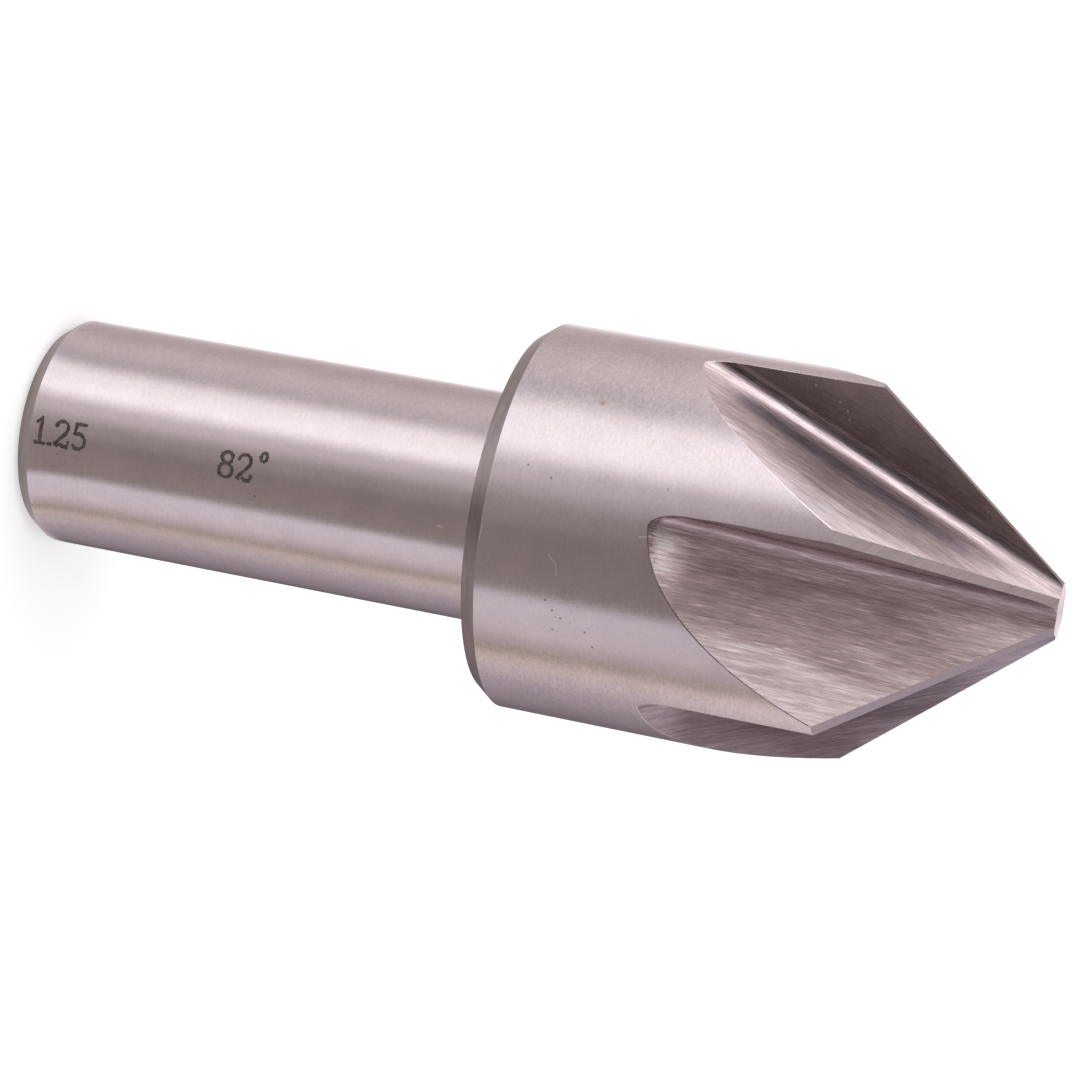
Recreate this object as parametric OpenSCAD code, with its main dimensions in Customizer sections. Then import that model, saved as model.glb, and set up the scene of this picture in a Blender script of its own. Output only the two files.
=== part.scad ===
// Countersink bit: one solid of ground tool steel that stands on the end of its shank.
// The axis is Z, the origin is the centre of the shank's end face, and the point looks up.
// A plain round shank carries a thicker round head. The head ends in a cone whose point
// is ground flat, and six straight flutes are cut into the cone and the head's side.
// Each flute has a face that lies in a plane through the axis, a floor across from it,
// and a rounded root between the two. A narrow land is left behind each cutting edge,
// and it drops away from the edge so that only the edge touches the work.
// All lengths are in millimetres and all angles are in degrees.

/* [Head] */

// Diameter of the round head behind the cone
head_diameter = 31.75; // [28:0.05:36]

// Full angle of the cone, from side to side
cone_angle = 82; // [76:1:92]

// Diameter of the flat ground on the point
tip_diameter = 4.6; // [3.6:0.1:6]

// Distance from the shank's end to the back face of the head
head_start = 41.5; // [36:0.1:46]

// Length of the bevel at the back of the head, along the axis
head_bevel_length = 1.4; // [0.6:0.1:2]

// Width of the bevel at the back of the head, across the axis
head_bevel_width = 1.05; // [0.4:0.05:1.6]

/* [Shank] */

// Length of the whole bit, from the shank's end to the flat on the point
overall_length = 85.725; // [82:0.005:92]

// Diameter of the round shank
shank_diameter = 19.05; // [14:0.05:22]

// Length of the bevel on the shank's end, along the axis
shank_bevel_length = 1.3; // [0.6:0.1:2.5]

// Width of the bevel on the shank's end, across the axis
shank_bevel_width = 0.9; // [0.4:0.05:2]

// Radius of the rounded corner where the shank meets the head
neck_radius = 0.5; // [0.2:0.05:1]

/* [Flutes] */

// Number of flutes, which is also the number of cutting edges
flute_count = 6; // [5:1:7]

// Width of the land behind the cutting edge, where the cone meets the head's side
land_at_corner = 0.86; // [0.5:0.02:1.4]

// Width of the land behind the cutting edge, at the flat on the point
land_at_tip = 0.65; // [0.4:0.01:0.9]

// How steeply each land drops away behind its cutting edge
land_relief = 9; // [4:1:14]

// How far the flute's floor leans away from square with its cutting face
floor_lean = 2; // [0:0.5:4]

// Radius of the rounded root between the cutting face and the floor
root_radius = 1.3; // [0.6:0.1:1.6]

// Direction of the first cutting edge around the axis, from the front's right
first_edge_angle = 23; // [0:1:59]

/* [Hidden] */

// Radii of the main circles
head_r = head_diameter / 2;
shank_r = shank_diameter / 2;
tip_r = tip_diameter / 2;

// Height of the corner circle, where the cone meets the head's side
corner_z = overall_length - (head_r - tip_r) / tan(cone_angle / 2);

// Angle from one cutting edge to the next
edge_pitch = 360 / flute_count;

// Angle from a cutting edge across its flute to the next land, at the corner and at the tip
open_at_corner = edge_pitch - land_at_corner / head_r * 180 / PI;
open_at_tip = edge_pitch - land_at_tip / tip_r * 180 / PI;

// Distance from the axis to the floor's line in the cutting face, at the corner and the tip
root_at_corner = head_r * (cos(open_at_corner) + tan(floor_lean) * sin(open_at_corner));
root_at_tip = tip_r * (cos(open_at_tip) + tan(floor_lean) * sin(open_at_tip));

// Slope of that line against the axis
root_slope = atan((root_at_corner - root_at_tip) / (overall_length - corner_z));

// Lean of the floor measured square to the sloping root
square_lean = atan(tan(floor_lean) * cos(root_slope));

// Centre of the root's rounding, out from the floor's line
root_centre = root_radius * (1 - sin(square_lean)) / cos(square_lean);

// Reach of a flute cutter outside the head, so that it clears every surface
reach = 2 * head_diameter;

// Length of a cutting edge along the cone, and the width of the cut that relieves its land
edge_length = (head_r - tip_r) / sin(cone_angle / 2);
relief_width = head_r / 2;

// How far ahead of the cutting edge the relieving cut starts, in the open flute
relief_lead = 0.1;

// Segments that a full circle is drawn with
round_steps = 96;

// The one solid that this file draws

// Half of the outline of the bit before fluting, turned about the axis
module blank() {
    rotate_extrude($fn = round_steps)
        difference() {
            polygon([
                [0, 0],
                [shank_r - shank_bevel_width, 0],
                [shank_r, shank_bevel_length],
                [shank_r, head_start - neck_radius],
                [shank_r + neck_radius, head_start - neck_radius],
                [shank_r + neck_radius, head_start],
                [head_r - head_bevel_width, head_start],
                [head_r, head_start + head_bevel_length],
                [head_r, corner_z],
                [tip_r, overall_length],
                [0, overall_length]
            ]);
            translate([shank_r + neck_radius, head_start - neck_radius])
                circle(r = neck_radius, $fn = round_steps);
        }
}

// Section of one flute, square to its root: x is out from the floor, y is across the flute
module flute_section() {
    union() {
        polygon([
            [root_centre, root_radius],
            [root_centre, 0],
            [reach, 0],
            [reach, reach],
            [-reach * tan(square_lean), reach],
            [
                root_centre - root_radius * cos(square_lean),
                root_radius - root_radius * sin(square_lean)
            ]
        ]);
        translate([root_centre, root_radius])
            circle(r = root_radius, $fn = round_steps);
    }
}

// One flute, run along its sloping root past both ends of the cut
module flute() {
    translate([root_at_corner, 0, corner_z])
        rotate([0, -root_slope, 0])
            translate([0, 0, -reach])
                linear_extrude(height = 2 * reach)
                    flute_section();
}

// Relief of one land: a flat cut that starts at the cutting edge and drops away behind it
module relief() {
    translate([head_r, 0, corner_z])
        rotate([0, -cone_angle / 2, 0])
            translate([0, relief_lead, 0])
                rotate([0, 0, -land_relief])
                    translate([0, -relief_width, -relief_width])
                        cube([relief_width, relief_width, edge_length + 2 * relief_width]);
}

// The whole bit
module countersink() {
    color([0.66, 0.64, 0.64])
        difference() {
            blank();
            for (i = [0 : flute_count - 1])
                rotate([0, 0, first_edge_angle + i * edge_pitch]) {
                    flute();
                    relief();
                }
        }
}

countersink();
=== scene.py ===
# %% [markdown]
# A countersink bit cuts the conical seat for a flat screw head. It is one piece of tool
# steel: a plain round shank that a drill chuck grips, and a thicker head that ends in a
# cone with six straight flutes. Nothing on it moves, so the whole lesson is one solid and
# the way that steel looks after turning, milling and grinding.
#
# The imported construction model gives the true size. It could be shown as it is, but its
# round faces are a coarse net of triangles, and polished steel shows every one of them.
# So the bit is modelled again here on the same dimensions, with finer rounds, broken
# edges and a finish of its own for each surface.

# %% Load the construction model
import bmesh
import bpy
import math
import random
from mathutils import Matrix, Quaternion, Vector


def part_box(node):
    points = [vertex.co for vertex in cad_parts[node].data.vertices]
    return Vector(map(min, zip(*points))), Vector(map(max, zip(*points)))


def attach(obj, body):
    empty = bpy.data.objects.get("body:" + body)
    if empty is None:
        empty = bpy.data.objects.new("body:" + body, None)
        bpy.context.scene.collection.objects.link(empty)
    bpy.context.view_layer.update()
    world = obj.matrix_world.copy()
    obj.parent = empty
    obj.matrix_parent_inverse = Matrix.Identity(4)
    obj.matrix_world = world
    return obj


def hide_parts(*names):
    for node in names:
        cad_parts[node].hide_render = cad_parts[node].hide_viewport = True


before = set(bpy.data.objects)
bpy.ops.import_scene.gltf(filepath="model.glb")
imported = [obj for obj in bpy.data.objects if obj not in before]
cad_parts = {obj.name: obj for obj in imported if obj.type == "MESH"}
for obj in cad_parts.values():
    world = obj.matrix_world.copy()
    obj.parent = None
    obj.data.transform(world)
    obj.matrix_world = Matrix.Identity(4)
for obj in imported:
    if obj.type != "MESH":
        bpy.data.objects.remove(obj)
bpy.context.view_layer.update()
node_low, node_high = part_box("countersink")
MM = 0.001
print("construction box in mm:", [round(v / MM, 3) for v in (*node_low, *node_high)])

# %% [markdown]
# The sizes are those of a real bit, in millimetres, because that is how such a tool is
# drawn. The length and the head's diameter come from the construction model. The rest are
# the few numbers that a grinder would need, and everything else follows from them.

# %% Sizes of the bit in millimetres
overall_length = node_high.z / MM
head_r = round((node_high.x - node_low.x) / MM, 2) / 2
cone_half_angle = math.radians(41)
tip_r = 2.3
head_start = 41.5
head_bevel_length = 1.4
head_bevel_width = 1.05
shank_r = 9.525
shank_bevel_length = 1.3
shank_bevel_width = 0.9
neck_radius = 0.5
flute_count = 6
land_at_corner = 0.86
land_at_tip = 0.65
land_relief = math.radians(9)
floor_lean = math.radians(2)
root_radius = 1.3
first_edge_angle = math.radians(23)

corner_z = overall_length - (head_r - tip_r) / math.tan(cone_half_angle)
edge_pitch = 2 * math.pi / flute_count
print("corner of the cone at", round(corner_z, 3), "mm of", round(overall_length, 3))

# %% [markdown]
# The flute's root is a straight line that starts in the head's side and slopes in towards
# the point. Two points fix it: how far the floor lies from the axis where the land is
# measured, at the corner and at the tip.

# %% Lines of one flute


def floor_distance(radius, land):
    """Distance from the axis to the floor's line in the cutting face, at one radius."""
    opening = edge_pitch - land / radius
    return radius * (math.cos(opening) + math.tan(floor_lean) * math.sin(opening))


root_at_corner = floor_distance(head_r, land_at_corner)
root_at_tip = floor_distance(tip_r, land_at_tip)
root_slope = math.atan((root_at_corner - root_at_tip) / (overall_length - corner_z))
square_lean = math.atan(math.tan(floor_lean) * math.cos(root_slope))
print("root slopes", round(math.degrees(root_slope), 2), "degrees to the axis")

# %% [markdown]
# The camera stands where the photographer stood. A fit to the photographed outline gave the
# place of the lens, the point it looks at, its turn about the line of sight, and a lens of
# about 100 mm on a full-frame sensor. The bit stands on its shank here and lies down in the
# picture, so the turn is close to a right angle.

# %% Camera
camera_place = Vector((-0.494, -236.841, 110.45)) * MM
camera_aim = Vector((1.937, 0.0, 43.31)) * MM
camera_turn = math.radians(100.55)
focal_length = 100.513
sensor_width = 36.0

camera_data = bpy.data.cameras.new("photo_camera")
camera_data.lens = focal_length
camera_data.sensor_width = sensor_width
camera_data.clip_start = 0.01
camera_data.clip_end = 50
camera = bpy.data.objects.new("photo_camera", camera_data)
bpy.context.scene.collection.objects.link(camera)
looking = (camera_aim - camera_place).to_track_quat("-Z", "Y")
camera.rotation_mode = "QUATERNION"
camera.rotation_quaternion = looking @ Quaternion((0, 0, 1), camera_turn)
camera.location = camera_place
bpy.context.scene.camera = camera
print("camera stands", round((camera_aim - camera_place).length / MM, 1), "mm away")

# %% [markdown]
# The lathe makes the blank first. In mesh code a lathe is a spin: half of the outline,
# drawn in the XZ plane as a chain of edges, is turned about Z. Only the neck's hollow
# corner needs more than straight lines, and a short spin of one vertex draws that arc.
# The spin has a step for every degree, because a ground surface mirrors its surroundings
# and would show wider flats.

# %% Turn the blank
spin_steps = 360
neck_steps = 8
lathe_weld = 1e-4


def spin_round(bm, steps, weld):
    """Turns all vertices and edges about Z into a closed round."""
    bmesh.ops.spin(
        bm, geom=bm.verts[:] + bm.edges[:], cent=(0, 0, 0), axis=(0, 0, 1),
        angle=2 * math.pi, steps=steps, use_merge=True)
    bmesh.ops.remove_doubles(bm, verts=bm.verts, dist=weld)


def chain(bm, points):
    """Joins points, given as (radius, height), with edges and returns their vertices."""
    verts = [bm.verts.new((r, 0, z)) for r, z in points]
    for a, b in zip(verts, verts[1:]):
        bm.edges.new((a, b))
    return verts


def turned_blank():
    """The blank as it leaves the lathe: a closed bmesh in millimetres."""
    bm = bmesh.new()
    neck_z = head_start - neck_radius
    shank = chain(bm, [
        (0, 0),
        (shank_r - shank_bevel_width, 0),
        (shank_r, shank_bevel_length),
        (shank_r, neck_z),
    ])
    bmesh.ops.spin(
        bm, geom=[shank[-1]], cent=(shank_r + neck_radius, 0, neck_z), axis=(0, 1, 0),
        angle=math.pi / 2, steps=neck_steps, use_merge=False)
    chain(bm, [
        (shank_r + neck_radius, head_start),
        (head_r - head_bevel_width, head_start),
        (head_r, head_start + head_bevel_length),
        (head_r, corner_z),
        (tip_r, overall_length),
        (0, overall_length),
    ])
    bmesh.ops.remove_doubles(bm, verts=bm.verts, dist=lathe_weld)
    spin_round(bm, spin_steps, lathe_weld)
    bmesh.ops.recalc_face_normals(bm, faces=bm.faces)
    return bm


def mesh_object(name, bm):
    """Puts a bmesh into a new object in the scene."""
    mesh = bpy.data.meshes.new(name)
    bm.to_mesh(mesh)
    bm.free()
    obj = bpy.data.objects.new(name, mesh)
    bpy.context.scene.collection.objects.link(obj)
    return obj


bit = mesh_object("countersink_ground", turned_blank())
print("blank has", len(bit.data.polygons), "faces")

# %% [markdown]
# A milling cutter with a rounded corner cuts each flute. Its shape is a wedge with one
# face in the plane of the cutting face and one along the floor. Four corners make its
# section, and three more points split the floor into strips for the shading. An extrusion
# makes the wedge, and a bevel of the edge between those two faces makes the round root. A
# Boolean takes the wedge out of the blank, as the mill did.
#
# A flat grinding wheel then relieves each land, so that the steel drops away behind the
# cutting edge. That is a plain block, tilted by the relief angle.

# %% Cutters for the flutes and the lands
reach = 4 * head_r
root_steps = 24
relief_width = head_r / 2
relief_lead = 0.1
on_axis = 1e-6
floor_lines = [1.7, 2.2, 3.0]
edge_length = (head_r - tip_r) / math.sin(cone_half_angle)


def swing(bm, angle, axis):
    """Turns a cutter about the X, Y or Z axis."""
    bmesh.ops.rotate(bm, verts=bm.verts, cent=(0, 0, 0), matrix=Matrix.Rotation(angle, 3, axis))


def flute_cutter(z_turn):
    """A wedge with a rounded corner that runs along one flute's root."""
    bm = bmesh.new()
    section = [(0, 0), (reach, 0), (reach, reach), (-reach * math.tan(square_lean), reach)]
    section += [(-w * math.tan(square_lean), w) for w in reversed(floor_lines)]
    face = bm.faces.new([bm.verts.new((x, y, -reach)) for x, y in section])
    run = bmesh.ops.extrude_face_region(bm, geom=[face])["geom"]
    bmesh.ops.translate(
        bm, vec=(0, 0, 2 * reach), verts=[g for g in run if isinstance(g, bmesh.types.BMVert)])
    corner = [e for e in bm.edges if all(v.co.xy.length < on_axis for v in e.verts)]
    corner_angle = math.pi / 2 + square_lean
    bmesh.ops.bevel(
        bm, geom=corner, offset=root_radius / math.tan(corner_angle / 2), offset_type="OFFSET",
        segments=root_steps, profile=0.5, affect="EDGES", material=-1)
    bmesh.ops.recalc_face_normals(bm, faces=bm.faces)
    swing(bm, -root_slope, "Y")
    bmesh.ops.translate(bm, vec=(root_at_corner, 0, corner_z), verts=bm.verts)
    swing(bm, z_turn, "Z")
    return mesh_object("flute_cutter", bm)


def relief_cutter(z_turn):
    """A block whose inner face is the relieved land."""
    bm = bmesh.new()
    block_length = edge_length + 2 * relief_width
    bmesh.ops.create_cube(bm, size=1)
    bmesh.ops.scale(bm, vec=(relief_width, relief_width, block_length), verts=bm.verts)
    bmesh.ops.translate(
        bm, vec=(relief_width / 2, -relief_width / 2, block_length / 2 - relief_width), verts=bm.verts)
    swing(bm, -land_relief, "Z")
    bmesh.ops.translate(bm, vec=(0, relief_lead, 0), verts=bm.verts)
    swing(bm, -cone_half_angle, "Y")
    bmesh.ops.translate(bm, vec=(head_r, 0, corner_z), verts=bm.verts)
    swing(bm, z_turn, "Z")
    return mesh_object("relief_cutter", bm)


def cut_away(obj, cutters):
    """Subtracts every cutter from obj, bakes the result and deletes the cutters."""
    for cutter in cutters:
        modifier = obj.modifiers.new("cut", "BOOLEAN")
        modifier.operation = "DIFFERENCE"
        modifier.solver = "EXACT"
        modifier.object = cutter
    depsgraph = bpy.context.evaluated_depsgraph_get()
    result = bpy.data.meshes.new_from_object(obj.evaluated_get(depsgraph))
    obj.modifiers.clear()
    old = obj.data
    obj.data = result
    bpy.data.meshes.remove(old)
    for cutter in cutters:
        bpy.data.meshes.remove(cutter.data)


tooth_angles = [first_edge_angle + i * edge_pitch for i in range(flute_count)]
cut_away(bit, [flute_cutter(a) for a in tooth_angles])
cut_away(bit, [relief_cutter(a) for a in tooth_angles])
print("fluted bit has", len(bit.data.polygons), "faces")

# %% [markdown]
# Every surface of the bit was cut in its own way, so each one needs its own finish. The
# faces are sorted into kinds by where they lie and which way they point. Each face also
# keeps the direction in which its tool marks run, called the lay: around the axis where
# the bit was turned or ground round, along the root in a flute, slantwise on a land.
#
# The wheel's own roundness also leaves each flute's floor a touch hollow, and its worn
# corner eases the root into the floor. Both are too little to change an outline, but they
# turn the reflections, so they go into the shading normals alone.

# %% Kinds of surface and the lay of their tool marks
KINDS = ["side", "bevel", "flute", "rake", "land", "point", "end"]
land_lay_turn = math.radians(42)
root_centre = root_radius * (1 - math.sin(square_lean)) / math.cos(square_lean)
hollow_rate = math.radians(0.5)
hollow_middle = 6.5
root_ease = math.radians(14)
root_end = root_radius / math.tan(math.pi / 4 + square_lean / 2)

# One number for each tooth: how much painted light lies on its floor and on its cutting face,
# how strong the painted highlight at its heel is (below 0 it is a painted shade), and how
# much painted lilac reflection lies on its floor
flute_painted_light = [1.0, 0.94, 1.04, 0.98, 1.0, 0.52]
rake_painted_light = [1.0, 1.15, 1.1, 1.12, 1.35, 1.2]
heel_light_and_shade = [0.7, 0.3, 0.5, -0.6, 1.0, 0.0]
lilac_reflection_marks = [0.1, 0.0, 0.15, 0.0, 0.0, 1.0]

# How near is near enough, in millimetres or as two directions' dot product
flat_enough = 0.01
hair = 1e-3
same_way = 0.9999
root_margin = 1.05
level = 0.999
land_rise = 0.5
bevel_fall = -0.05


def tooth_lines(angle):
    """The directions and points of one tooth, from the angle of its cutting edge."""
    out = Vector((math.cos(angle), math.sin(angle), 0))
    across = Vector((-math.sin(angle), math.cos(angle), 0))
    up = Vector((0, 0, 1))
    root = up * math.cos(root_slope) - out * math.sin(root_slope)
    off_floor = out * math.cos(root_slope) + up * math.sin(root_slope)
    floor = off_floor * math.cos(square_lean) + across * math.sin(square_lean)
    cone = out * math.cos(cone_half_angle) + up * math.sin(cone_half_angle)
    land = cone * math.cos(land_relief) - across * math.sin(land_relief)
    edge = up * math.cos(cone_half_angle) - out * math.sin(cone_half_angle)
    start = out * root_at_corner + up * corner_z
    return {
        "out": out,
        "across": across,
        "off_floor": off_floor,
        "root": root,
        "floor": floor,
        "floor_across": across * math.cos(square_lean) - off_floor * math.sin(square_lean),
        "land_lay": Matrix.Rotation(land_lay_turn, 3, land) @ edge,
        "start": start,
        "root_centre": start + off_floor * root_centre + across * root_radius,
    }


teeth = [tooth_lines(a) for a in tooth_angles]


def around(co):
    """Direction around the axis at a point."""
    return Vector((-co.y, co.x, 0)).normalized()


def sort_face(face):
    """Returns the kind of a face, the lay of its marks and the tooth it belongs to."""
    centre = face.calc_center_median()
    normal = face.normal
    for number, tooth in enumerate(teeth):
        on_axis_plane = abs(centre.dot(tooth["across"])) < flat_enough
        if on_axis_plane and normal.dot(tooth["across"]) > same_way:
            return "rake", tooth["root"], number
        along_root = abs(normal.dot(tooth["root"])) < hair
        from_centre = (centre - tooth["root_centre"]).cross(tooth["root"]).length
        in_root = along_root and from_centre < root_margin * root_radius
        if in_root or normal.dot(tooth["floor"]) > same_way:
            return "flute", tooth["root"], number
    if normal.z > level:
        return "point", around(centre), -1
    if normal.z > land_rise:
        number = max(range(flute_count), key=lambda i: centre.dot(teeth[i]["out"]))
        return "land", teeth[number]["land_lay"], number
    if normal.z < -level and centre.z < hair:
        return "end", around(centre), -1
    if normal.z < bevel_fall:
        return "bevel", around(centre), -1
    return "side", around(centre), -1


def floor_tilt(across):
    """How far the floor's normal turns towards the root, at a distance across the flute."""
    near_root = max(0, (floor_lines[-1] - across) / (floor_lines[-1] - root_end))
    return hollow_rate * (hollow_middle - across) + root_ease * near_root ** 2


def hollow_normal(tooth, co):
    """The normal of a flute that is ground a touch hollow, from its root to its far edge."""
    across = (co - tooth["start"]).dot(tooth["floor_across"])
    if across > root_end - hair:
        tilt = floor_tilt(across)
        return tooth["floor"] * math.cos(tilt) + tooth["floor_across"] * math.sin(tilt)
    inward = tooth["root_centre"] - co
    turn = math.atan2(inward.dot(tooth["off_floor"]), inward.dot(tooth["across"]))
    whole = math.pi / 2 - square_lean
    turn *= (whole - floor_tilt(root_end)) / whole
    return tooth["across"] * math.cos(turn) + tooth["off_floor"] * math.sin(turn)


def shape_normal(face, co):
    """The true normal of the ground shape at a point, not the flat facet's own."""
    kind = KINDS[face[kind_layer]]
    if kind == "side":
        return Vector((co.x, co.y, 0)).normalized()
    if kind == "bevel" and abs(face.normal.z) < level:
        outward = Vector((co.x, co.y, 0)).normalized()
        return outward * math.sqrt(1 - face.normal.z ** 2) + Vector((0, 0, face.normal.z))
    if kind == "flute":
        return hollow_normal(teeth[face[tooth_layer]], co)
    return face.normal.copy()


# %% [markdown]
# No real edge is perfectly sharp, and the thin line of light along an edge is what makes
# steel look solid. The rim where a flute runs out in the head's side was rubbed with a
# stone, so it is rounded by a little under a tenth of a millimetre. The cutting edges were
# not, and get only enough to catch the light. A bevel modifier could do it, but then the new
# strips could not be told apart, and they need the shading of the faces beside them.

# %% Break the edges
rim_break = 0.07
edge_break = 0.04
edge_steps = 2
crease = math.radians(12)
weld = 2e-3

bm = bmesh.new()
bm.from_mesh(bit.data)
bmesh.ops.remove_doubles(bm, verts=bm.verts, dist=weld)
bmesh.ops.dissolve_degenerate(bm, edges=bm.edges, dist=weld)
bm.normal_update()
kind_layer = bm.faces.layers.int.new("kind")
tooth_layer = bm.faces.layers.int.new("tooth")
strip_layer = bm.faces.layers.int.new("strip")
lay_layer = bm.faces.layers.float_vector.new("lay")
painted_light_layer = bm.faces.layers.float.new("tone")
heel_light_layer = bm.faces.layers.float.new("heel")
lilac_reflection_layer = bm.faces.layers.float.new("lilac_reflection")
for face in bm.faces:
    kind, lay, tooth = sort_face(face)
    face[kind_layer] = KINDS.index(kind)
    face[tooth_layer] = tooth
    face[lay_layer] = lay
    # The faces keep their tooth's painted light and shade for the flute and cutting-face finishes.
    face[painted_light_layer] = (rake_painted_light if kind == "rake" else flute_painted_light)[tooth]
    face[heel_light_layer] = heel_light_and_shade[tooth]
    face[lilac_reflection_layer] = lilac_reflection_marks[tooth]
    face.material_index = KINDS.index(kind)
    face.smooth = True


def is_sharp(edge):
    """Whether an edge between two ground faces still has to be broken."""
    untouched = len(edge.link_faces) == 2 and not any(f[strip_layer] for f in edge.link_faces)
    return untouched and edge.calc_face_angle() > crease


def is_rim(edge):
    """Whether an edge lies between a flute or its cutting face and the head's side."""
    kinds = {KINDS[f[kind_layer]] for f in edge.link_faces}
    return is_sharp(edge) and kinds in ({"side", "flute"}, {"side", "rake"})


def break_edges(wanted, width, clamp):
    """Rounds the wanted edges, marks the new strips and says how many there are."""
    edges = [e for e in bm.edges if wanted(e)]
    strips = bmesh.ops.bevel(
        bm, geom=edges, offset=width, offset_type="OFFSET", segments=edge_steps, profile=0.5,
        affect="EDGES", clamp_overlap=clamp, material=-1)["faces"]
    for strip in strips:
        strip[strip_layer] = 1
    bm.normal_update()
    print(len(edges), "edges broken by", width, "mm into", len(strips), "strips")


print("open edges:", sum(1 for e in bm.edges if len(e.link_faces) != 2))
break_edges(is_rim, rim_break, False)
break_edges(is_sharp, edge_break, True)
kinds_found = [KINDS[f[kind_layer]] for f in bm.faces]
print("faces by kind:", {kind: kinds_found.count(kind) for kind in KINDS})

across_layer = bm.loops.layers.float.new("across")
along_layer = bm.loops.layers.float.new("along")
corner_normals = []
for face in bm.faces:
    if face[strip_layer]:
        longest = max(face.edges, key=lambda e: e.calc_length())
        face[lay_layer] = (longest.verts[1].co - longest.verts[0].co).normalized()
    for loop in face.loops:
        beside = [face]
        if face[strip_layer]:
            beside = [f for f in loop.vert.link_faces if not f[strip_layer]]
        total = sum((shape_normal(f, loop.vert.co) for f in beside), Vector((0, 0, 0)))
        corner_normals.append(total.normalized() if beside else loop.vert.normal.copy())
        if KINDS[face[kind_layer]] == "flute":
            tooth = teeth[face[tooth_layer]]
            loop[across_layer] = (loop.vert.co - tooth["start"]).dot(tooth["floor_across"])
            loop[along_layer] = (loop.vert.co - tooth["start"]).dot(tooth["root"])
for vert in bm.verts:
    shrink = min(1, head_r / max(vert.co.xy.length, on_axis))
    vert.co.x *= shrink
    vert.co.y *= shrink
    vert.co.z = min(max(vert.co.z, 0), overall_length)
bmesh.ops.scale(bm, vec=(MM, MM, MM), verts=bm.verts)
bm.to_mesh(bit.data)
bm.free()
bit.data.normals_split_custom_set(corner_normals)
print("finished bit has", len(bit.data.polygons), "faces")

# %% [markdown]
# Materials come next. Ground steel is a metal whose roughness has a direction: light
# spreads across the tool marks and stays sharp along them. The Principled shader calls
# this anisotropy, and its tangent says which way. The lay that each face keeps is that
# direction, so one small group of nodes serves every finish.

# %% Node helpers
quarter_turn = 0.25
soft_from = 0.35


def node(mat, kind, **values):
    """Adds a shader node and sets its attributes and inputs by name."""
    made = mat.node_tree.nodes.new(kind)
    for name, value in values.items():
        if hasattr(made, name):
            setattr(made, name, value)
        else:
            made.inputs[name.replace("_", " ").title()].default_value = value
    return made


def link(mat, out, into):
    """Connects two sockets."""
    mat.node_tree.links.new(out, into)


def feed(mat, socket, value):
    """Links another socket into a socket, or sets it to a plain value."""
    if isinstance(value, bpy.types.NodeSocket):
        link(mat, value, socket)
    elif value is not None:
        socket.default_value = value


def math_node(mat, operation, a, b=None, clamp=False):
    """The output of a math node on sockets or numbers."""
    made = node(mat, "ShaderNodeMath", operation=operation, use_clamp=clamp)
    feed(mat, made.inputs[0], a)
    feed(mat, made.inputs[1], b)
    return made.outputs[0]


def vector_node(mat, operation, a, b=None, scale=None):
    """The main output of a vector math node on sockets or vectors."""
    made = node(mat, "ShaderNodeVectorMath", operation=operation)
    feed(mat, made.inputs[0], a)
    feed(mat, made.inputs[1], b)
    if scale is not None:
        feed(mat, made.inputs["Scale"], scale)
    gives_number = operation in ("DOT_PRODUCT", "DISTANCE", "LENGTH")
    return made.outputs["Value"] if gives_number else made.outputs[0]


def noise(mat, coords, scale, detail=2.0, roughness=0.5):
    """The value of a noise texture on given coordinates."""
    made = node(mat, "ShaderNodeTexNoise", scale=scale, detail=detail, roughness=roughness)
    link(mat, coords, made.inputs["Vector"])
    return made.outputs["Fac"]


def spread(mat, value, low, high, from_low=0.3, from_high=0.7):
    """Maps a value from one range to another and clamps it. The usual range is a noise's."""
    made = node(
        mat, "ShaderNodeMapRange", from_min=from_low, from_max=from_high, to_min=low, to_max=high)
    link(mat, value, made.inputs["Value"])
    return made.outputs["Result"]


def tint(mat, colour, factor):
    """A colour times a changing factor."""
    return vector_node(mat, "SCALE", colour, scale=factor)


def object_mm(mat):
    """The point on the piece, in millimetres."""
    coords = node(mat, "ShaderNodeTexCoord")
    return vector_node(mat, "SCALE", coords.outputs["Object"], scale=1 / MM)


def lay_of(mat):
    """The lay that each face keeps."""
    return node(mat, "ShaderNodeAttribute", attribute_name="lay").outputs["Vector"]


def drawn_out(mat, point, lay, stretch):
    """Coordinates squeezed along the lay, so that a noise on them is drawn out into streaks."""
    along = vector_node(mat, "DOT_PRODUCT", point, lay)
    shift = vector_node(mat, "SCALE", lay, scale=math_node(mat, "MULTIPLY", along, 1 / stretch - 1))
    return vector_node(mat, "ADD", point, shift)


def drawn_around(mat, point, stretch):
    """Coordinates squeezed across the axis, so that a noise on them runs around the bit."""
    return vector_node(mat, "MULTIPLY", point, (1 / stretch, 1 / stretch, 1))


def steel(name, anisotropy):
    """A metal material whose highlight follows the lay."""
    mat = bpy.data.materials.new(name)
    mat.use_nodes = True
    shader = mat.node_tree.nodes["Principled BSDF"]
    shader.inputs["Metallic"].default_value = 1.0
    shader.inputs["Anisotropic"].default_value = anisotropy
    shader.inputs["Anisotropic Rotation"].default_value = quarter_turn
    link(mat, lay_of(mat), shader.inputs["Tangent"])
    return mat


def finished(mat, colour, rough, height, depth):
    """Gives a material its colour, its roughness and a bump, with the bump's depth in metres."""
    shader = mat.node_tree.nodes["Principled BSDF"]
    made = node(mat, "ShaderNodeBump", distance=depth)
    link(mat, height, made.inputs["Height"])
    link(mat, made.outputs["Normal"], shader.inputs["Normal"])
    link(mat, colour, shader.inputs["Base Color"])
    link(mat, rough, shader.inputs["Roughness"])
    return mat


def mixed(mat, share, first, second):
    """A colour between two others. Each may be a socket."""
    made = node(mat, "ShaderNodeMix", data_type="RGBA")
    link(mat, share, made.inputs["Factor"])
    for name, colour in (("A", first), ("B", second)):
        feed(mat, made.inputs[name], (*colour, 1) if isinstance(colour, tuple) else colour)
    return made.outputs["Result"]


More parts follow.
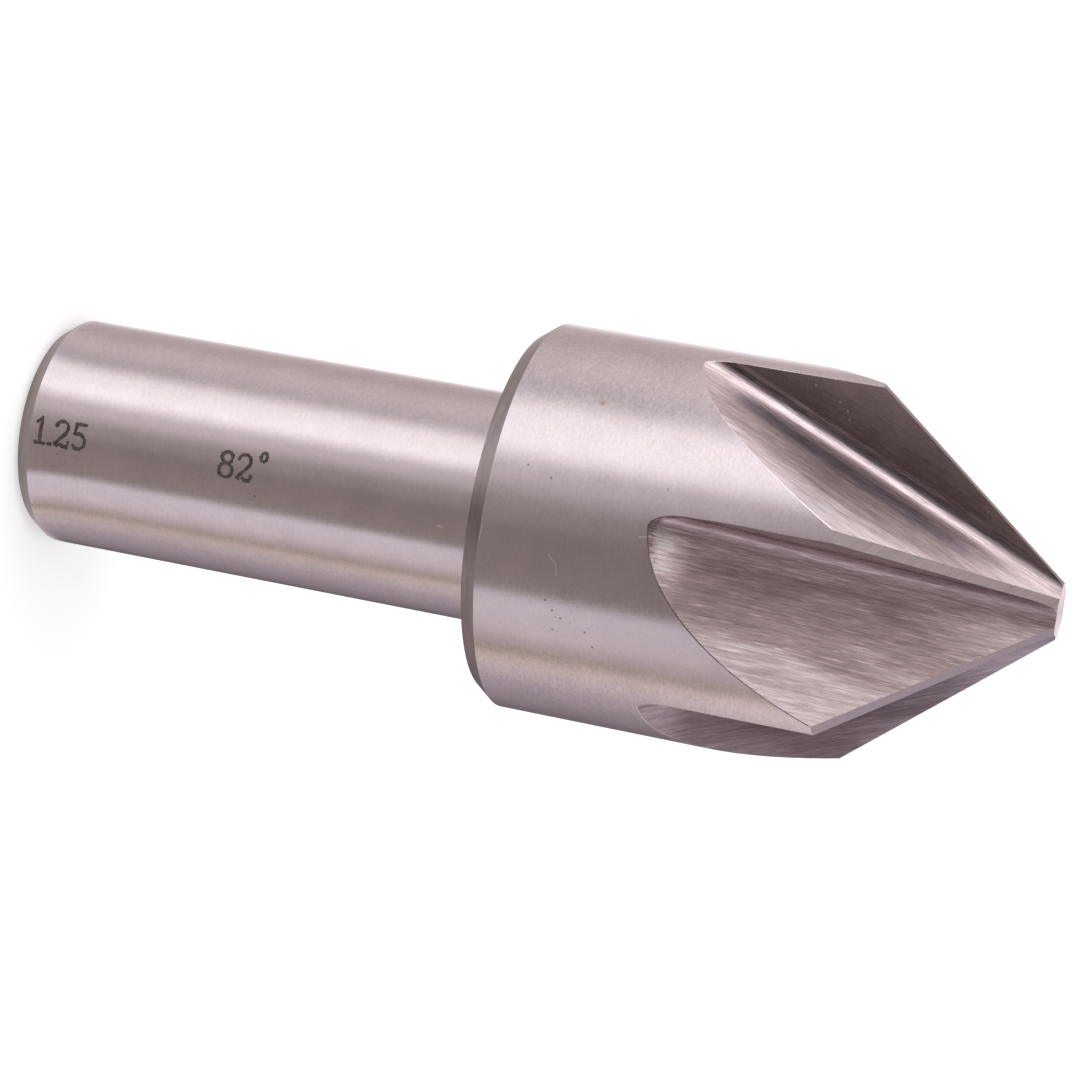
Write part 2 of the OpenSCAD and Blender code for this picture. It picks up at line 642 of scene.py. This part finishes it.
def near_point(mat, point, place, size):
    """1 at one place on the steel, falling to 0 at a distance."""
    return spread(mat, vector_node(mat, "DISTANCE", point, place), 1, 0, soft_from * size, size)


def near_line(mat, point, start, end, size):
    """1 along a straight scratch between two places, falling to 0 at a distance."""
    run = Vector(end) - Vector(start)
    offset = vector_node(mat, "SUBTRACT", point, start)
    share = math_node(
        mat, "MULTIPLY", vector_node(mat, "DOT_PRODUCT", offset, run), 1 / run.length_squared, True)
    apart = vector_node(mat, "DISTANCE", offset, vector_node(mat, "SCALE", run, scale=share))
    return spread(mat, apart, 1, 0, soft_from * size, size)


def most(mat, masks):
    """The largest of several masks."""
    total = masks[0]
    for mask in masks[1:]:
        total = math_node(mat, "MAXIMUM", total, mask)
    return total


def product(mat, values):
    """The product of several numbers."""
    total = values[0]
    for value in values[1:]:
        total = math_node(mat, "MULTIPLY", total, value)
    return total


def changed_by(mat, tone, mask, gain):
    """A tone times 1 plus the gain where the mask is 1. Below 0 the mask does nothing."""
    return product(mat, [tone, spread(mat, mask, 1, 1 + gain, 0, 1)])


def attribute(mat, name):
    """A number that the mesh keeps for each corner or face."""
    return node(mat, "ShaderNodeAttribute", attribute_name=name).outputs["Fac"]


def from_axis(mat, point):
    """How far a point lies from the Z axis."""
    return vector_node(mat, "LENGTH", vector_node(mat, "MULTIPLY", point, (1, 1, 0)))


# %% [markdown]
# The shank and the head's side were ground between centres. The wheel leaves very fine
# rings, fainter on the shank than on the head, with a cloudy change of tone where the wheel
# was dressed. A noise squeezed across the axis gives rings of uneven length and depth, and
# a plain noise adds the speckle of the steel.
#
# This bit has been handled, too. It has a few pits, one spot of rust and some short light
# scratches. Each is a small mask at its own place, given by its radius, its angle around the
# axis and its height. A sparse cell pattern scatters a few more pits over the rest, and a
# denser one makes a patch of very small ones.

# %% Finish of the ground rounds
steel_colour = (0.60, 0.53, 0.535)
rust_colour = (0.49, 0.40, 0.33)
pit_size = 0.14
scratch_size = 0.07
single_pits = [
    (head_r, 293.0, 48.7), (head_r, 295.8, 49.3), (head_r, 297.8, 50.0), (head_r, 301.8, 49.4),
    (head_r, 300.8, 52.0), (head_r, 305.3, 52.6), (head_r, 256.5, 45.7), (head_r, 259.0, 47.7),
    (shank_r, 285.8, 21.7),
]
pit_patch = (296.5, 49.8)
patch_size = 2.6
rust_spot = (233.5, 49.9)
rust_size = 0.36
short_scratches = [
    (head_r, (280.0, 48.6), (282.5, 49.3), scratch_size),
    (head_r, (282.5, 49.3), (285.2, 49.4), scratch_size),
    (head_r, (279.5, 42.96), (275.3, 43.05), scratch_size),
    (head_r, (270.6, 55.4), (270.1, 56.1), scratch_size),
    (shank_r, (283.3, 37.5), (283.7, 37.8), pit_size),
]
shank_grain = 0.7
head_grain = 1.1
grain_change = (head_start - 0.2, head_start + 0.2)
grain_range = (-0.3, 0.3)
sparse_cells = 0.32
dense_cells = 1.7
pit_gain = -0.55
scratch_gain = 0.4


def on_round(radius, degrees, height):
    """A place on the shank or the head's side."""
    angle = math.radians(degrees)
    return Vector((radius * math.cos(angle), radius * math.sin(angle), height))


def ground_side():
    """Shank and head: fine rings around the axis, a cloudy tone, pits and scratches."""
    mat = steel("ground_rings", 0.93)
    point = object_mm(mat)
    rings = noise(mat, drawn_around(mat, point, stretch=4), scale=6.0, detail=3.0, roughness=0.6)
    specks = noise(mat, point, scale=3.5, detail=3.0, roughness=0.65)
    cloud = noise(mat, point, scale=0.35, detail=3.0)
    parts = node(mat, "ShaderNodeSeparateXYZ")
    link(mat, point, parts.inputs[0])
    coarse = spread(mat, parts.outputs["Z"], shank_grain, head_grain, *grain_change)
    both = math_node(mat, "ADD", rings, specks)
    grain = product(mat, [math_node(mat, "SUBTRACT", both, 1.0), coarse])
    tone = product(mat, [spread(mat, grain, 0.92, 1.08, *grain_range), spread(mat, cloud, 0.96, 1.04)])

    cells = node(mat, "ShaderNodeTexVoronoi", scale=sparse_cells)
    link(mat, point, cells.inputs["Vector"])
    pits = [near_point(mat, point, on_round(*place), pit_size) for place in single_pits]
    pits.append(spread(mat, cells.outputs["Distance"], 0.8, 0, 0.012, 0.04))
    dense = node(mat, "ShaderNodeTexVoronoi", scale=dense_cells)
    link(mat, point, dense.inputs["Vector"])
    patch = near_point(mat, point, on_round(head_r, *pit_patch), patch_size)
    dust = spread(mat, dense.outputs["Distance"], 0.9, 0, 0.07, 0.14)
    pits.append(product(mat, [patch, dust]))
    pits = most(mat, pits)
    scratches = most(mat, [
        near_line(mat, point, on_round(radius, *a), on_round(radius, *b), size)
        for radius, a, b, size in short_scratches
    ])
    tone = changed_by(mat, changed_by(mat, tone, pits, pit_gain), scratches, scratch_gain)

    rust = near_point(mat, point, on_round(head_r, *rust_spot), rust_size)
    colour = mixed(mat, rust, steel_colour, rust_colour)
    rough = spread(mat, grain, 0.19, 0.25, *grain_range)
    height = math_node(mat, "SUBTRACT", grain, pits)
    return finished(mat, tint(mat, colour, tone), rough, height, depth=2e-6)


# %% [markdown]
# The bevels and the head's back face were turned and left so. They are duller than the
# ground parts, with wider rings, and their colour is darker: a painted shade for the
# shadowed floor that they mirror.

# %% Finish of the turned bevels
# A darker colour than the ground steel: painted shade.
bevel_painted_shade_colour = (0.32, 0.265, 0.26)


def turned_bevel_painted_shade():
    """The bevels and the head's back face, darkened by painted shade."""
    mat = steel("turned_bevel_painted_shade", 0.8)
    point = object_mm(mat)
    rings = noise(mat, drawn_around(mat, point, stretch=12), scale=5.0, detail=3.0, roughness=0.6)
    colour = tint(mat, bevel_painted_shade_colour, spread(mat, rings, 0.8, 1.15))
    return finished(mat, colour, spread(mat, rings, 0.32, 0.42), rings, depth=2e-6)


# %% [markdown]
# Each flute was cut along its root, so its marks are long straight streaks with a few
# brighter hairlines. On top of them the colour carries painted light and shade: a painted
# highlight along the root's corner, far out on the floor, near the point, and at the heel,
# and painted shade on the floor in between. The mesh keeps how far each corner lies across
# the flute and along it, and the painted light follows those two numbers. A ragged band of
# painted shade also runs along the rim where the flute runs out.
#
# The painted light differs from flute to flute. The upper one in the picture has a band of
# painted bluish shade beside its root, and the lowest one a painted pale lilac reflection
# towards both ends of its floor. Most heels have a painted highlight, and one a painted shade.

# %% Finish of the flutes
lit_flute_colour = (0.62, 0.535, 0.545)
shaded_flute_colour = (0.62, 0.468, 0.468)
bluish_shade_colour = (0.55, 0.46, 0.52)
lilac_reflection_colour = (0.63, 0.545, 0.585)
hairlines = [((-4.0, 8.0), (6.0, 8.5)), ((-3.5, 8.7), (0.0, 8.8))]
hair_tooth = 4
shade_band_ends = [(-11.0, 3.0), (8.5, 3.9)]
shade_band_tooth = 3
shade_band_size = 1.3
shade_band_gain = -0.28
heel_highlight_gain = 1.1
heel_shade_gain = -0.45
rim_shade_gain = -0.7
lilac_reflection_gain = 1.7
hair_gain = 0.35

# Ranges in millimetres across a flute, from its root
shaded_floor_run = (2.5, 8.0)
far_floor = (7.5, 11.0)
root_side = (1.5, 2.7)
root_polish = (1.2, 2.4)
heel_begins = (0.8, 1.5)
heel_ends = (3.5, 6.0)
rim_shade_ends = (2.5, 5.0)

# Ranges in millimetres along a flute, from the corner of the cone towards the point
near_point_run = (3.0, 13.0)
near_heel_run = (-14.0, -10.5)
heel_run = (-14.2, -12.0)
heel_shade_run = (-14.2, -9.0)
lilac_reflection_tip_run = (0.0, 17.0)
lilac_reflection_heel_run = (-13.0, -3.0)

# The ragged band of painted shade along the rim, in millimetres from the axis
rim_shade_reach = (head_r - 0.36, head_r - 0.16)


def on_floor(number, along, across):
    """A place on a flute's floor."""
    tooth = teeth[number]
    return tooth["start"] + tooth["root"] * along + tooth["floor_across"] * across


def milled_flute():
    """Floors and roots: long streaks along the root, and painted shade and highlights on the floor."""
    mat = steel("flute_streaks", 0.8)
    point = object_mm(mat)
    lay = lay_of(mat)
    fine = noise(mat, drawn_out(mat, point, lay, stretch=22), scale=11.0, detail=3.0, roughness=0.65)
    long = noise(mat, drawn_out(mat, point, lay, stretch=30), scale=4.0)
    broad = noise(mat, drawn_out(mat, point, lay, stretch=5), scale=0.6, detail=1.0)
    hairs = noise(mat, drawn_out(mat, point, lay, stretch=24), scale=12.0, detail=1.0)
    across = attribute(mat, "across")
    along = attribute(mat, "along")
    heel_light = attribute(mat, "heel")

    wander = math_node(mat, "ADD", across, spread(mat, broad, -1.6, 1.6))
    # Painted shade in the middle of the floor, and painted highlights far out on it, along the root, towards
    # the point and at the heel.
    floor_painted_light_and_shade = math_node(
        mat, "ADD", spread(mat, wander, 0.48, 0.84, *shaded_floor_run), spread(mat, wander, 0, 0.56, *far_floor))
    root_painted_highlight = spread(mat, across, 1.1, 0.42, *root_side)
    tip_painted_highlight = spread(mat, along, 0.4, 1.1, *near_point_run)
    heel_painted_highlight = spread(mat, along, 0.95, 0.42, *near_heel_run)
    tone = most(mat, [floor_painted_light_and_shade, root_painted_highlight, tip_painted_highlight, heel_painted_highlight])
    # Each tooth's painted light.
    tone = product(mat, [tone, attribute(mat, "tone")])

    # A painted highlight at the heel, streaked like the grain, where the tooth's number is above 0, and a
    # painted shade there where it is below 0.
    heel = product(mat, [
        spread(mat, along, 1, 0, *heel_run), spread(mat, across, 0, 1, *heel_begins),
        spread(mat, across, 1, 0, *heel_ends), spread(mat, fine, 0.2, 1), heel_light])
    tone = changed_by(mat, tone, heel, heel_highlight_gain)
    heel_shade = product(mat, [spread(mat, along, -1, 0, *heel_shade_run), heel_light])
    tone = changed_by(mat, tone, heel_shade, heel_shade_gain)
    # A ragged band of painted shade along the rim where the flute runs out.
    rim_shade = product(mat, [
        spread(mat, from_axis(mat, point), 0, 1, *rim_shade_reach), spread(mat, across, 1, 0, *rim_shade_ends),
        spread(mat, noise(mat, point, scale=2.5), 0.3, 1), heel_light])
    tone = changed_by(mat, tone, rim_shade, rim_shade_gain)

    # A painted pale lilac reflection towards both ends of a floor, strongest on one flute.
    lilac_reflection = most(mat, [
        spread(mat, along, 0, 1, *lilac_reflection_tip_run), spread(mat, along, 0.45, 0, *lilac_reflection_heel_run)])
    lilac_reflection = product(mat, [lilac_reflection, attribute(mat, "lilac_reflection")])
    tone = changed_by(mat, tone, lilac_reflection, lilac_reflection_gain)

    # A band of painted bluish shade beside one flute's root.
    ends = [on_floor(shade_band_tooth, *end) for end in shade_band_ends]
    shade_band = product(mat, [near_line(mat, point, *ends, shade_band_size), spread(mat, long, 0.4, 1)])
    tone = changed_by(mat, tone, shade_band, shade_band_gain)

    streaks = product(mat, [spread(mat, fine, 0.68, 1.32), spread(mat, long, 0.86, 1.14)])
    streaks = math_node(mat, "ADD", streaks, spread(mat, hairs, 0, 0.6, 0.61, 0.69))
    bright = most(mat, [
        near_line(mat, point, on_floor(hair_tooth, *a), on_floor(hair_tooth, *b), scratch_size)
        for a, b in hairlines
    ])
    # The colour turns from the lit flute colour to the shaded one where the painted shade is deep.
    colour = mixed(mat, spread(mat, tone, 0, 1, 0.45, 1.2), shaded_flute_colour, lit_flute_colour)
    colour = mixed(mat, lilac_reflection, colour, lilac_reflection_colour)
    colour = mixed(mat, shade_band, colour, bluish_shade_colour)
    tone = changed_by(mat, product(mat, [streaks, tone]), bright, hair_gain)
    smooth_root = spread(mat, across, 0.1, 0, *root_polish)
    rough = math_node(mat, "SUBTRACT", spread(mat, fine, 0.25, 0.33), smooth_root)
    return finished(mat, tint(mat, colour, tone), rough, fine, depth=5e-6)


# %% [markdown]
# The cutting faces are smooth, and their colour is darkened: a painted shade for the dark
# surroundings that they mirror. The lands behind their edges are satin, with fine lines that
# slant across them the way the wheel passed. Both have fainter streaks than the flutes, and
# the cutting face has a few light specks.

# %% Finish of the cutting faces, the lands and the flat ends
rake_specks = [(15.1, 64.7), (14.05, 66.7), (13.4, 67.4), (12.7, 67.6), (7.15, 79.2)]
speck_tooth = 3
speck_size = 0.12
speck_gain = 1.2
# The cutting faces' dark colour is painted shade, and each tooth's painted light scales it.
rake_painted_shade_colour = (0.45, 0.38, 0.38)
land_colour = (0.56, 0.495, 0.50)
point_colour = (0.74, 0.635, 0.65)
end_colour = (0.5, 0.46, 0.455)


def rake_face():
    """Cutting faces: smooth, darkened by painted shade, with a few specks."""
    mat = steel("rake_face", 0.5)
    point = object_mm(mat)
    lay = lay_of(mat)
    fine = noise(mat, drawn_out(mat, point, lay, stretch=20), scale=5.0, detail=3.0, roughness=0.6)
    cloud = noise(mat, point, scale=0.5)
    degrees = math.degrees(tooth_angles[speck_tooth])
    specks = most(mat, [
        near_point(mat, point, on_round(radius, degrees, height), speck_size)
        for radius, height in rake_specks
    ])
    tone = product(mat, [
        spread(mat, fine, 0.93, 1.07), spread(mat, cloud, 0.92, 1.08), attribute(mat, "tone")])
    tone = changed_by(mat, tone, specks, speck_gain)
    rough = spread(mat, fine, 0.24, 0.32)
    return finished(mat, tint(mat, rake_painted_shade_colour, tone), rough, fine, depth=2e-6)


def ground_land():
    """Lands: satin, with fine slanting lines."""
    mat = steel("land_lines", 0.8)
    point = object_mm(mat)
    lay = lay_of(mat)
    fine = noise(mat, drawn_out(mat, point, lay, stretch=25), scale=8.0, detail=3.0, roughness=0.6)
    colour = tint(mat, land_colour, spread(mat, fine, 0.88, 1.12))
    return finished(mat, colour, spread(mat, fine, 0.3, 0.4), fine, depth=4e-6)


def faced_end(name, colour):
    """Flat ends: rings around the axis from a facing cut."""
    mat = steel(name, 0.7)
    point = object_mm(mat)
    outwards = node(mat, "ShaderNodeCombineXYZ")
    link(mat, from_axis(mat, point), outwards.inputs["X"])
    rings = noise(mat, outwards.outputs[0], scale=6.0, detail=3.0, roughness=0.6)
    colour = tint(mat, colour, spread(mat, rings, 0.9, 1.1))
    return finished(mat, colour, spread(mat, rings, 0.26, 0.34), rings, depth=4e-6)


finishes = {
    "side": ground_side(),
    "bevel": turned_bevel_painted_shade(),
    "flute": milled_flute(),
    "rake": rake_face(),
    "land": ground_land(),
    "point": faced_end("ground_point", point_colour),
    "end": faced_end("faced_end", end_colour),
}
for kind in KINDS:
    bit.data.materials.append(finishes[kind])
print("finishes:", [m.name for m in bit.data.materials])

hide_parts("countersink")
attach(bit, "root")

# %% [markdown]
# Two plain numbers stand on the shank: the head's size and the cone's angle. Such marks are
# burnt into the finished steel point by point, so a stroke is a string of small dark dots
# that run into each other. Straight rows and bows of dots make the digits here, and each
# dot is a thin disc of burnt oxide that lies on the round shank.

# %% Numbers on the shank
dot_pitch = 0.24
dot_radius = 0.175
dot_sides = 8
dot_proud = 0.008
dot_sunk = 0.03
dot_drift = 0.025
digit_foot = 279.5
size_from = 1.8
angle_from = 18.25
oxide_colour = (0.07, 0.053, 0.048)


def row(start, end):
    """Dots along a straight stroke."""
    start, end = Vector(start), Vector(end)
    count = round((end - start).length / dot_pitch)
    return [start.lerp(end, i / count) for i in range(count + 1)]


def bow(centre, radii, first, last):
    """Dots along an arc, between two angles in degrees."""
    arc = math.radians(last - first)
    count = round(abs(arc) * sum(radii) / 2 / dot_pitch)
    turns = [math.radians(first) + arc * i / count for i in range(count + 1)]
    return [Vector((centre[0] + radii[0] * math.cos(t), centre[1] + radii[1] * math.sin(t)))
            for t in turns]


DIGITS = {
    "8": (1.6, bow((0.7, 1.68), (0.46, 0.46), 90, 420) + bow((0.7, 0.64), (0.58, 0.56), 90, 420)),
    "2": (1.6, bow((0.64, 1.6), (0.54, 0.56), 165, -25) + row((1.0, 1.2), (0.15, 0.25))
          + row((0.3, 0.14), (0.62, 0.22)) + row((0.82, 0.12), (1.2, 0.1)) + row((1.28, 0.3), (1.3, 0.5))),
    "5": (1.5, row((1.1, 2.15), (0.3, 2.15)) + row((0.26, 1.9), (0.22, 1.35))
          + bow((0.6, 0.74), (0.58, 0.62), 110, -140)),
    "1": (1.1, row((0.14, 1.8), (0.5, 2.15)) + row((0.5, 1.9), (0.5, 0.3))
          + row((0.14, 0.08), (0.88, 0.08))),
    ".": (0.65, row((0.2, 0.12), (0.36, 0.1))),
    "o": (0.9, bow((0.62, 2.2), (0.26, 0.36), 90, 420)),
}


def stamp(bm, signs, height, drift):
    """Puts a line of signs on the shank, from a height on towards the head."""
    for sign in signs:
        width, dots = DIGITS[sign]
        for dot in dots:
            along = height + dot.x + drift.uniform(-dot_drift, dot_drift)
            around_shank = (dot.y + drift.uniform(-dot_drift, dot_drift)) / shank_r
            angle = math.radians(digit_foot) - around_shank
            radius = dot_radius * drift.uniform(0.8, 1.15)
            outward = Vector((math.cos(angle), math.sin(angle), 0))
            centre = outward * (shank_r + (dot_proud - dot_sunk) / 2) + Vector((0, 0, along))
            place = Matrix.Translation(centre) @ outward.to_track_quat("Z", "Y").to_matrix().to_4x4()
            bmesh.ops.create_cone(
                bm, cap_ends=True, segments=dot_sides, radius1=radius, radius2=radius,
                depth=dot_proud + dot_sunk, matrix=place)
        height += width


bm = bmesh.new()
drift = random.Random(3)
stamp(bm, "1.25", size_from, drift)
stamp(bm, "82o", angle_from, drift)
bmesh.ops.scale(bm, vec=(MM, MM, MM), verts=bm.verts)
numbers = mesh_object("burnt_numbers", bm)
print("numbers have", len(numbers.data.polygons), "faces")


def burnt_oxide():
    """A thin dark brown film, uneven from dot to dot."""
    mat = bpy.data.materials.new("burnt_oxide")
    mat.use_nodes = True
    shader = mat.node_tree.nodes["Principled BSDF"]
    point = object_mm(mat)
    patches = noise(mat, point, scale=3.0)
    link(mat, tint(mat, oxide_colour, spread(mat, patches, 0.5, 1.5)), shader.inputs["Base Color"])
    link(mat, spread(mat, patches, 0.5, 0.7), shader.inputs["Roughness"])
    return mat


numbers.data.materials.append(burnt_oxide())
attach(numbers, "root")

# %% [markdown]
# The stage is a pale floor under soft light. The floor's own glow is seen but lights
# nothing, so the paper looks white and still shows the soft shadow where the bit stands.

# %% Floor, lamp and world
floor_size = 6.0
floor_colour = (0.82, 0.82, 0.82)
floor_glow = 0.42
world_level = 0.75
lamp_place = (-0.5, -0.3, 1.4)
lamp_aim = (0, 0.2, 0)
lamp_size = 1.2
lamp_watts = 5.0

bm = bmesh.new()
bmesh.ops.create_grid(bm, x_segments=1, y_segments=1, size=floor_size / 2)
floor = mesh_object("floor", bm)
floor_mat = bpy.data.materials.new("pale_floor")
floor_mat.use_nodes = True
floor_shader = floor_mat.node_tree.nodes["Principled BSDF"]
floor_shader.inputs["Base Color"].default_value = (*floor_colour, 1)
floor_shader.inputs["Roughness"].default_value = 0.9
floor_shader.inputs["Specular IOR Level"].default_value = 0.0
floor_shader.inputs["Emission Color"].default_value = (1, 1, 1, 1)
path = node(floor_mat, "ShaderNodeLightPath")
seen = math_node(floor_mat, "ADD", path.outputs["Is Camera Ray"], path.outputs["Is Glossy Ray"], True)
seen = math_node(floor_mat, "ADD", seen, path.outputs["Is Transmission Ray"], True)
link(floor_mat, math_node(floor_mat, "MULTIPLY", seen, floor_glow), floor_shader.inputs["Emission Strength"])
floor.data.materials.append(floor_mat)

world = bpy.data.worlds.new("studio")
bpy.context.scene.world = world
world.use_nodes = True
background = world.node_tree.nodes["Background"]
background.inputs["Color"].default_value = (1, 1, 1, 1)
background.inputs["Strength"].default_value = world_level

# A square soft lamp for the floor. The steel mirrors the cards in its place.
lamp_data = bpy.data.lights.new("top_softbox", "AREA")
lamp_data.shape = "SQUARE"
lamp_data.size = lamp_size
lamp_data.energy = lamp_watts
lamp = bpy.data.objects.new("top_softbox", lamp_data)
bpy.context.scene.collection.objects.link(lamp)
lamp.location = lamp_place
lamp.rotation_euler = (Vector(lamp_aim) - Vector(lamp_place)).to_track_quat("-Z", "Y").to_euler()
lamp.visible_camera = False
lamp.visible_glossy = False

# %% [markdown]
# Steel has no colour of its own: it shows what stands around it. The photographer had a
# light above the bit, a dark gap in front and pale cards below, and those make the long
# bright and dark bands. A round light box, with a card on the floor, a tall wall and a lid,
# stands around the bit here, and only the steel's reflections see it. Its brightness changes
# with the direction around the bit, on four levels from the floor up to the plain lid.
#
# The wall is not endlessly far away, so a reflection off the thick head and one off the
# thin shank reach it a little apart, and the bands would bend at the floor. The direction
# is corrected for the steel's own radius, which makes the bands run straight.

# %% Cards around the bit
# Each stop is a direction around the bit, in degrees from the camera towards the top of the
# picture, with the colour of the card that stands there.
low_cards = [
    (-180, (0.55, 0.51, 0.53)),
    (-170, (0.20, 0.17, 0.19)),
    (-156, (0.20, 0.17, 0.19)),
    (-146, (0.31, 0.265, 0.30)),
    (-134, (0.41, 0.355, 0.40)),
    (-118, (0.53, 0.465, 0.52)),
    (-104, (0.69, 0.62, 0.63)),
    (-94, (0.76, 0.67, 0.605)),
    (-86, (0.53, 0.455, 0.40)),
    (-78, (0.72, 0.66, 0.67)),
    (-70, (0.92, 0.86, 0.92)),
    (-52, (0.98, 0.93, 1.02)),
    (-43, (0.40, 0.35, 0.34)),
    (-12, (0.37, 0.32, 0.315)),
    (2, (0.47, 0.42, 0.425)),
    (24, (0.88, 0.82, 0.84)),
    (42, (1.62, 1.63, 1.66)),
    (58, (1.43, 1.43, 1.47)),
    (79, (0.67, 0.62, 0.65)),
    (100, (0.80, 0.73, 0.73)),
    (132, (0.64, 0.57, 0.57)),
    (148, (0.68, 0.60, 0.60)),
    (162, (1.06, 1.01, 1.03)),
    (174, (1.50, 1.47, 1.50)),
    (180, (1.30, 1.26, 1.30)),
]
middle_cards = [
    (-180, (1.05, 0.97, 1.00)),
    (-165, (0.50, 0.46, 0.50)),
    (-136, (0.42, 0.37, 0.41)),
    (-116, (1.05, 0.95, 1.01)),
    (-98, (1.80, 1.64, 1.71)),
    (-80, (0.52, 0.46, 0.48)),
    (-66, (0.28, 0.23, 0.24)),
    (-30, (0.09, 0.07, 0.07)),
    (10, (0.06, 0.05, 0.05)),
    (24, (0.16, 0.14, 0.15)),
    (38, (0.95, 0.93, 0.96)),
    (54, (1.78, 1.78, 1.82)),
    (82, (1.75, 1.72, 1.74)),
    (108, (1.70, 1.64, 1.66)),
    (132, (1.10, 1.05, 1.06)),
    (150, (0.50, 0.40, 0.40)),
    (164, (0.34, 0.25, 0.25)),
    (180, (1.05, 0.97, 1.00)),
]
upper_cards = sorted(
    [stop for stop in middle_cards if not -140 < stop[0] < -90]
    + [(-134, (0.18, 0.16, 0.19)), (-100, (0.24, 0.21, 0.25))])
high_cards = [
    (-180, (0.80, 0.75, 0.76)),
    (-112, (0.74, 0.66, 0.75)),
    (-60, (0.30, 0.25, 0.26)),
    (-20, (0.20, 0.17, 0.17)),
    (-2, (0.40, 0.35, 0.35)),
    (20, (0.98, 0.92, 0.93)),
    (60, (0.94, 0.88, 0.89)),
    (110, (0.90, 0.84, 0.84)),
    (180, (0.80, 0.75, 0.76)),
]
top_card = (0.45, 0.395, 0.395)
middle_from = (0.0, 0.07)
upper_from = (0.12, 0.16)
high_from = (0.19, 0.28)
top_from = (0.42, 0.56)
shank_to_head = (0.13, 0.16)
card_foot = 0.0105
card_wall = 0.35
card_height = 1.0
card_lift = 0.0004
card_steps = 180
card_weld = 1e-6

bm = bmesh.new()
chain(bm, [
    (card_foot, card_lift), (card_wall, card_lift), (card_wall, card_height), (0, card_height)])
spin_round(bm, card_steps, card_weld)
cards = mesh_object("reflected_cards", bm)
card_mat = bpy.data.materials.new("card_light")
card_mat.use_nodes = True
card_mat.node_tree.nodes.clear()
coords = node(card_mat, "ShaderNodeTexCoord")
parts = node(card_mat, "ShaderNodeSeparateXYZ")
link(card_mat, coords.outputs["Object"], parts.inputs[0])
to_top = math_node(card_mat, "MULTIPLY", parts.outputs["X"], -1.0)
to_camera = math_node(card_mat, "MULTIPLY", parts.outputs["Y"], -1.0)
away = from_axis(card_mat, coords.outputs["Object"])
steel_r = spread(card_mat, away, shank_r * MM, head_r * MM, *shank_to_head)
steel_share = math_node(card_mat, "DIVIDE", steel_r, away)
turn = math_node(card_mat, "ARCTAN2", to_top, to_camera)


def straightened(guess):
    """The direction of the ray that comes to a card off the round steel, from a guess of it."""
    half = math_node(card_mat, "SINE", math_node(card_mat, "MULTIPLY", guess, 0.5))
    lag = math_node(card_mat, "ARCSINE", math_node(card_mat, "MULTIPLY", half, steel_share))
    return math_node(card_mat, "ADD", turn, lag)


turn_there = spread(card_mat, straightened(straightened(turn)), 0, 1, -math.pi, math.pi)


def ring_of_cards(stops):
    """A colour that changes with the direction around the bit."""
    ramp = node(card_mat, "ShaderNodeValToRGB")
    ramp.color_ramp.interpolation = "EASE"
    while len(ramp.color_ramp.elements) < len(stops):
        ramp.color_ramp.elements.new(0.5)
    for element, (degrees, colour) in zip(ramp.color_ramp.elements, stops):
        element.position = (degrees + 180) / 360
        element.color = (*colour, 1)
    link(card_mat, turn_there, ramp.inputs["Fac"])
    return ramp.outputs["Color"]


def blend(low, high, from_to):
    """Changes from one colour to another between two heights."""
    return mixed(card_mat, spread(card_mat, parts.outputs["Z"], 0, 1, *from_to), low, high)


sides = blend(ring_of_cards(low_cards), ring_of_cards(middle_cards), middle_from)
sides = blend(sides, ring_of_cards(upper_cards), upper_from)
sides = blend(sides, ring_of_cards(high_cards), high_from)
glow = node(card_mat, "ShaderNodeEmission")
card_out = node(card_mat, "ShaderNodeOutputMaterial")
link(card_mat, blend(sides, top_card, top_from), glow.inputs["Color"])
link(card_mat, glow.outputs[0], card_out.inputs["Surface"])
cards.data.materials.append(card_mat)
cards.visible_camera = False
cards.visible_diffuse = False
cards.visible_shadow = False
cards.visible_transmission = False

# %% [markdown]
# The last step keeps plain colours.

# %% Finish
bpy.context.scene.view_settings.view_transform = "Standard"
